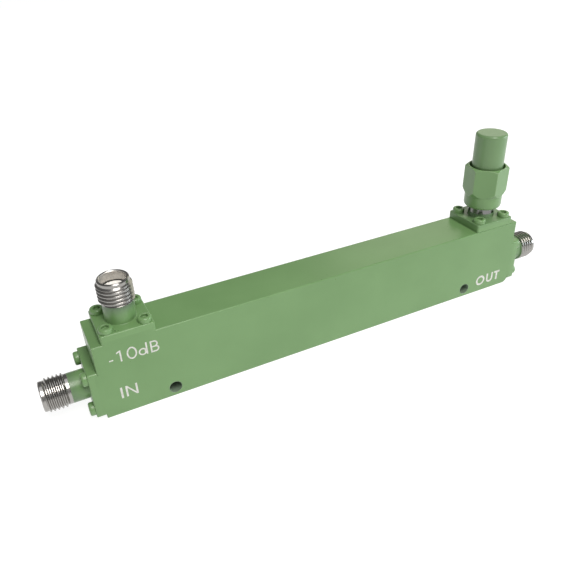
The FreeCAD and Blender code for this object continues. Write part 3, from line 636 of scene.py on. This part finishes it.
def make_jack(name, seat, foot):
    """Flange, barrel, thread, nose and bores as one closed skin; foot chamfers its seat."""
    form = bmesh.new()
    rim = [rounded_square(form, foot, 0.0), rounded_square(form, 0.0, foot)]
    for turn in quarter(ROUND_STEPS):
        inset = FLANGE_ROUND * (1 - cos(turn))
        rim.append(rounded_square(form, inset, FLANGE_THICK - FLANGE_ROUND * (1 - sin(turn))))
    skin(form, rim)
    top_holes, foot_holes = [], []
    for x, y in SCREW_PLACES:
        pair = [circle(form, SCREW_HOLE, height, x, y, SCREW_HOLE_AROUND)
                for height in (0.0, FLANGE_THICK)]
        skin(form, pair)
        foot_holes.append(pair[0])
        top_holes.append(pair[1])
    turned = []
    for turn in quarter(ROUND_STEPS):
        radius = BARREL + COVE * (1 - sin(turn))
        turned.append(circle(form, radius, FLANGE_THICK + COVE * (1 - cos(turn))))
    turned.append(circle(form, BARREL, THREAD_LOW))
    nose = [circle(form, radius, height) for radius, height in (
        (NOSE, THREAD_HIGH),
        (NOSE, NOSE_TOP - NOSE_BREAK),
        (NOSE - NOSE_BREAK, NOSE_TOP),
        (SOCKET_BORE + NOSE_BREAK, NOSE_TOP),
        (SOCKET_BORE, NOSE_TOP - NOSE_BREAK),
        (SOCKET_BORE, SOCKET_FLOOR),
        (INNER_BORE, SOCKET_FLOOR),
        (INNER_BORE, 0.0),
    )]
    skin(form, turned)
    skin(form, nose)
    cut_thread(form, turned[-1], nose[0])
    plate(form, rim[-1], top_holes + [turned[0]])
    plate(form, rim[0], foot_holes + [nose[-1]])
    bmesh.ops.scale(form, vec=(MM, MM, MM), verts=form.verts)
    made = link_mesh(name, form, 40)
    made.matrix_world = seat
    return made


DARK_STEEL = (0.31, 0.30, 0.285, 1)
PALE_STEEL = (0.39, 0.38, 0.36, 1)
BORE_REFLECTION_STEEL = (0.64, 0.62, 0.585, 1)
SHADED_STEEL = (0.05, 0.06, 0.065, 1)
BORE_SHADOW = (0.05, 0.05, 0.045, 1)
WORN_AND_SHADED_PAINT = (0.095, 0.135, 0.095, 1)
LATHE_LINES_PER_METRE = 22000.0
BORDER_WIDTH = 0.04 * MM
WORN_REACH = 2.2 * MM


def bare_steel_parts(finish):
    """Colour, roughness and height of turned stainless steel, paler in the bore as a painted
    reflection and darker at its foot as a painted shadow.
    """
    x, y, z = finish.axes()
    radius = (x * x + y * y) ** 0.5
    values = {"W": (z + radius) * LATHE_LINES_PER_METRE, "Scale": 1.0, "Detail": 3.0}
    lines = finish.node("ShaderNodeTexNoise", {"noise_dimensions": "1D"}, values, "Fac")
    smudge = finish.noise(1.2 * MM, 3.0)
    colour = finish.mix(smudge, DARK_STEEL, PALE_STEEL)
    # The bore's wall is paler as a painted reflection; its foot gets a painted shadow.
    inside = 1 - radius.between((SOCKET_BORE + 0.05) * MM, (SOCKET_BORE + 0.15) * MM)
    colour = finish.mix(inside, colour, BORE_REFLECTION_STEEL)
    bore_foot_shadow = inside - z.between((SOCKET_FLOOR + 0.05) * MM, (SOCKET_FLOOR + 0.20) * MM)
    colour = finish.mix(bore_foot_shadow.at_least(0.0) * 0.85, colour, BORE_SHADOW)
    roughness = 0.20 + 0.06 * smudge + 0.25 * inside
    return colour, roughness, lines


def jack_finish(name, paint_top, wander, lit_tone, worn_and_shade=0.42, chips=()):
    """Steel, darkened as painted shade where its tone is under 1, with enamel up to paint_top
    above the flange's face.

    The enamel's border wanders up and down, and below it the enamel is thin and darker, partly a
    painted shade, by the share worn.
    Each chip is given with its place on the flange and its reach.
    """
    finish = Finish(name, IOR=1.5)
    x, y, z = finish.axes()
    paint_colour, paint_roughness, paint_height, _ = enamel_parts(finish)
    steel_colour, steel_roughness, steel_height = bare_steel_parts(finish)
    steel_colour = finish.mix(lit_tone, SHADED_STEEL, steel_colour)
    wave = finish.noise(1.6 * MM, 3.0) - 0.5
    line = (FLANGE_THICK + paint_top) * MM
    bare = (z + wave * (wander * MM)).between(line - BORDER_WIDTH, line + BORDER_WIDTH)
    for chip_x, chip_y, reach in chips:
        ragged = finish.noise(0.14 * MM, 3.0) * (0.9 * reach * MM)
        off_x, off_y = x - chip_x * MM, y - chip_y * MM
        distance = (off_x * off_x + off_y * off_y) ** 0.5 + ragged
        bare = bare.at_least(1 - distance.between(reach * MM, 1.15 * reach * MM))
    # Below the border the enamel is thinner, and darker as painted shade.
    thin_and_shade = z.between(line - WORN_REACH, line) * worn_and_shade
    paint_colour = finish.mix(thin_and_shade, paint_colour, WORN_AND_SHADED_PAINT)
    height = (1 - bare) * (1.5 + paint_height) + bare * (0.02 * steel_height)
    finish.surface(
        Base_Color=finish.mix(bare, paint_colour, steel_colour),
        Metallic=bare,
        Roughness=paint_roughness + bare * (steel_roughness - paint_roughness),
        Normal=finish.relief(height, ENAMEL_RELIEF, ENAMEL_STRENGTH))
    return finish


def port_seat(x, z):
    """Middle of a port's seat on the block, upright."""
    return Matrix.Translation(Vector((x, 0, z)) * MM)


port_seats = {
    "input": port_seat(-HALF_LENGTH, END_PORT_Z) @ Matrix.Rotation(-pi / 2, 4, "Y"),
    "output": port_seat(HALF_LENGTH, END_PORT_Z) @ Matrix.Rotation(pi / 2, 4, "Y"),
    "coupled": port_seat(-TOP_PORT_X, BLOCK_TOP),
    "isolated": port_seat(TOP_PORT_X, BLOCK_TOP),
}
paint_chips = [(-1.95, -4.0, 0.22), (-1.45, -4.2, 0.12)]
jack_finishes = {
    # The isolated jack's steel is darkened as painted shade under the nut; the coupled jack's a
    # little.
    "input": jack_finish("input_steel", paint_top=2.95, wander=0.6, lit_tone=1.0),
    "output": jack_finish("output_steel", paint_top=4.0, wander=0.9, lit_tone=1.0),
    "coupled": jack_finish(
        "coupled_steel", paint_top=3.55, wander=0.7, lit_tone=0.92, worn_and_shade=0.65, chips=paint_chips),
    "isolated": jack_finish("isolated_steel", paint_top=1.0, wander=0.2, lit_tone=0.5),
}
for port, seat in port_seats.items():
    jack = make_jack(f"{port}_jack", seat, FLANGE_FEET[port])
    jack.data.materials.append(jack_finishes[port].material)
    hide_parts(f"{port}_shell")
    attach(jack, "root")

# ---- Insulators and centre contacts -----------------------------------------
# White PTFE rods pushed through flange and wall, flush with the bottom of each
# bore, and gold-plated sockets slotted crosswise in the middle of them.
ptfe = Finish("ptfe", IOR=1.35)
ptfe_patch = ptfe.noise(0.6 * MM, 3.0)
ptfe.surface(
    Base_Color=ptfe.mix(ptfe_patch, (0.82, 0.80, 0.75, 1), (0.90, 0.89, 0.86, 1)),
    Roughness=0.42 + 0.16 * ptfe_patch,
    Normal=ptfe.relief(ptfe.noise(0.15 * MM), 0.01 * MM))

gold = Finish("gold_plate", Metallic=1.0)
gold_patch = gold.noise(0.3 * MM, 3.0)
gold.surface(
    Base_Color=gold.mix(gold_patch, (0.78, 0.53, 0.22, 1), (0.90, 0.68, 0.34, 1)),
    Roughness=0.2 + 0.15 * gold_patch,
    Normal=gold.relief(gold.noise(0.05 * MM), 0.002 * MM))

for port in port_seats:
    finish_node(f"{port}_insulator", ptfe)
    finish_node(f"{port}_contact", gold)

# ---- Flange screws ----------------------------------------------------------
# Small steel socket screws, four to a flange, painted over with it. The heads are
# cylinders with rounded rims, and each hexagon socket stopped at its own turn.
HEAD = 1.27
HEAD_HEIGHT = 0.95
HEAD_ROUND = 0.34
HEAD_ROUND_STEPS = 5
HEAD_AROUND = 40
HEAD_BREAK = 0.05
SHANK = 0.8
SHANK_LENGTH = 3.5
SOCKET_FLATS = 1.25
SOCKET_DEPTH = 0.58
MOUTH_FLATS = SOCKET_FLATS + 0.14
MOUTH_DEPTH = 0.06
FLOOR_FLATS = SOCKET_FLATS - 0.10
FLOOR_BREAK = 0.04
FLOOR_CONE = 0.05
SOCKET_TURNS = {
    "input": (12, 38, 51, 5),
    "output": (27, 3, 44, 16),
    "coupled": (10, 33, 48, 20),
    "isolated": (8, 41, 22, 55),
}


def hexagon(form, flats, turn, height, x, y):
    """Ring of six corners."""
    reach = flats / sqrt(3)
    angles = [radians(turn + 60 * corner) for corner in range(6)]
    return [form.verts.new((x + reach * cos(angle), y + reach * sin(angle), height))
            for angle in angles]


def add_screw(form, x, y, turn):
    """One screw, its head on the flange's face and its shank in the block."""
    top = FLANGE_THICK + HEAD_HEIGHT
    profile = [
        (SHANK, FLANGE_THICK - SHANK_LENGTH),
        (SHANK, FLANGE_THICK),
        (HEAD - HEAD_BREAK, FLANGE_THICK),
        (HEAD, FLANGE_THICK + HEAD_BREAK),
    ]
    for angle in quarter(HEAD_ROUND_STEPS):
        profile.append((HEAD - HEAD_ROUND * (1 - cos(angle)), top - HEAD_ROUND * (1 - sin(angle))))
    rings = [circle(form, radius, height, x, y, HEAD_AROUND) for radius, height in profile]
    skin(form, rings)
    form.faces.new(rings[0])
    floor = top - SOCKET_DEPTH
    socket = [hexagon(form, flats, turn, height, x, y) for flats, height in (
        (MOUTH_FLATS, top),
        (SOCKET_FLATS, top - MOUTH_DEPTH),
        (SOCKET_FLATS, floor + FLOOR_BREAK),
        (FLOOR_FLATS, floor),
    )]
    plate(form, rings[-1], [socket[0]])
    skin(form, socket)
    point = form.verts.new((x, y, floor - FLOOR_CONE))
    for pair in zip(socket[-1], socket[-1][1:] + socket[-1][:1]):
        form.faces.new((*pair, point))


for port, seat in port_seats.items():
    screw_form = bmesh.new()
    for (x, y), turn in zip(SCREW_PLACES, SOCKET_TURNS[port]):
        add_screw(screw_form, x, y, turn)
    bmesh.ops.scale(screw_form, vec=(MM, MM, MM), verts=screw_form.verts)
    screws = link_mesh(f"{port}_screws", screw_form)
    screws.matrix_world = seat
    screws.data.materials.append(enamel.material)
    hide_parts(f"{port}_flange_screws")
    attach(screws, "root")

# ---- Coupling nut -----------------------------------------------------------
# Hexagonal nut with a round skirt, turned from bar: a long bevel runs from the
# skirt up to the corners and a short one breaks the top. Painted over as it sat.
NUT_LOW, NUT_HIGH = box_of("coupling_nut")
NUT_BOTTOM = NUT_LOW[2] - BLOCK_TOP
NUT_TOP = NUT_HIGH[2] - BLOCK_TOP
SKIRT = 3.98
SKIRT_ROUND = 0.7
SKIRT_TOP = NUT_BOTTOM + 2.75
NUT_FLATS = 8.0
NUT_TURN = 16.5
LOWER_BEVEL = 1.1
UPPER_BEVEL = 0.35
OPENING = 3.73
OPENING_FLOOR = NUT_TOP - 1.35
THREAD_HOLE = 3.17
HOLE_BREAK = 0.04
HOLE_BREAK_HEIGHT = 0.1
BEVEL_LAND = 0.02
TOP_INSET = 0.03
NUT_BREAK = 0.05
NUT_EDGE = 0.08 * MM
PER_FLAT = 10


def make_nut(name, seat):
    """Nut from upright columns of points; a column meets its flat where the bevels leave it."""
    form = bmesh.new()
    corner = NUT_FLATS / sqrt(3)
    columns = []
    for step in range(6 * PER_FLAT):
        turn = radians(NUT_TURN + 60 * step / PER_FLAT)
        off_middle = radians(60 * (step % PER_FLAT) / PER_FLAT - 30)
        flat = NUT_FLATS / 2 / cos(off_middle)
        share = (flat - SKIRT) / (corner - SKIRT)
        profile = [
            (THREAD_HOLE, NUT_BOTTOM + HOLE_BREAK_HEIGHT),
            (THREAD_HOLE + HOLE_BREAK, NUT_BOTTOM),
        ]
        for angle in quarter(ROUND_STEPS):
            radius = SKIRT - SKIRT_ROUND * (1 - sin(angle))
            profile.append((radius, NUT_BOTTOM + SKIRT_ROUND * (1 - cos(angle))))
        profile += [
            (SKIRT, SKIRT_TOP),
            (flat, SKIRT_TOP + LOWER_BEVEL * share + BEVEL_LAND),
            (flat, NUT_TOP - UPPER_BEVEL * share - BEVEL_LAND),
            (SKIRT - TOP_INSET, NUT_TOP),
            (OPENING + NUT_BREAK, NUT_TOP),
            (OPENING, NUT_TOP - NUT_BREAK),
            (OPENING, OPENING_FLOOR),
            (THREAD_HOLE, OPENING_FLOOR),
        ]
        columns.append([form.verts.new((r * cos(turn), r * sin(turn), z)) for r, z in profile])
    for column, following in zip(columns, columns[1:] + columns[:1]):
        for index in range(len(column)):
            above = (index + 1) % len(column)
            form.faces.new((column[index], following[index], following[above], column[above]))
    bmesh.ops.scale(form, vec=(MM, MM, MM), verts=form.verts)
    made = link_mesh(name, form)
    soften = made.modifiers.new("soften", "BEVEL")
    soften.width = NUT_EDGE
    soften.segments = 3
    soften.limit_method = "ANGLE"
    soften.angle_limit = radians(20)
    soften.harden_normals = True
    made.matrix_world = seat
    return made


nut = make_nut("termination_nut", port_seats["isolated"])
# The nut's edges carry a wider and stronger painted highlight.
nut.data.materials.append(enamel_finish("nut_enamel", 0.22 * MM, 0.8).material)
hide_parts("coupling_nut")
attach(nut, "root")

# ---- Load body and what it holds --------------------------------------------
# Plain round cap turned from bar and painted, with its gasket, split ring, bead,
# pin and resistor out of sight inside.
# The cap's enamel is greyed and darkened as painted shade.
finish_node("load_body", enamel_finish("cap_enamel", painted_shade=0.22))
finish_node("retaining_ring", gold)
finish_node("load_insulator", ptfe)
finish_node("load_contact", gold)

rubber = Finish("gasket_rubber")
rubber.surface(
    Base_Color=rubber.mix(rubber.noise(0.5 * MM), (0.16, 0.03, 0.02, 1), (0.22, 0.05, 0.03, 1)),
    Roughness=0.7 + 0.1 * rubber.noise(0.1 * MM))
finish_node("load_gasket", rubber)

ceramic = Finish("resistor_ceramic")
ceramic.surface(
    Base_Color=ceramic.mix(ceramic.noise(0.4 * MM), (0.03, 0.03, 0.035, 1), (0.06, 0.06, 0.07, 1)),
    Roughness=0.5 + 0.1 * ceramic.noise(0.1 * MM))
finish_node("load_resistor", ceramic)

# ---- Boards and lines -------------------------------------------------------
# Two glass-filled PTFE boards, with the strips of the two lines between them, cut from
# copper sheet. The cover and its screws clamp the stack in the block.
laminate = Finish("laminate")
weave = laminate.noise(0.5 * MM, 4.0)
laminate.surface(
    Base_Color=laminate.mix(weave, (0.55, 0.52, 0.42, 1), (0.68, 0.66, 0.56, 1)),
    Roughness=0.6 + 0.1 * laminate.noise(0.2 * MM),
    Normal=laminate.relief(laminate.noise(0.2 * MM), 0.01 * MM))
copper = Finish("copper", Metallic=1.0)
tarnish = copper.noise(0.8 * MM, 3.0)
copper.surface(
    Base_Color=copper.mix(tarnish, (0.72, 0.33, 0.20, 1), (0.86, 0.46, 0.32, 1)),
    Roughness=0.25 + 0.15 * copper.noise(0.2 * MM))
for node in ("front_board", "rear_board"):
    finish_node(node, laminate)
for node in ("main_line", "coupled_line"):
    finish_node(node, copper)
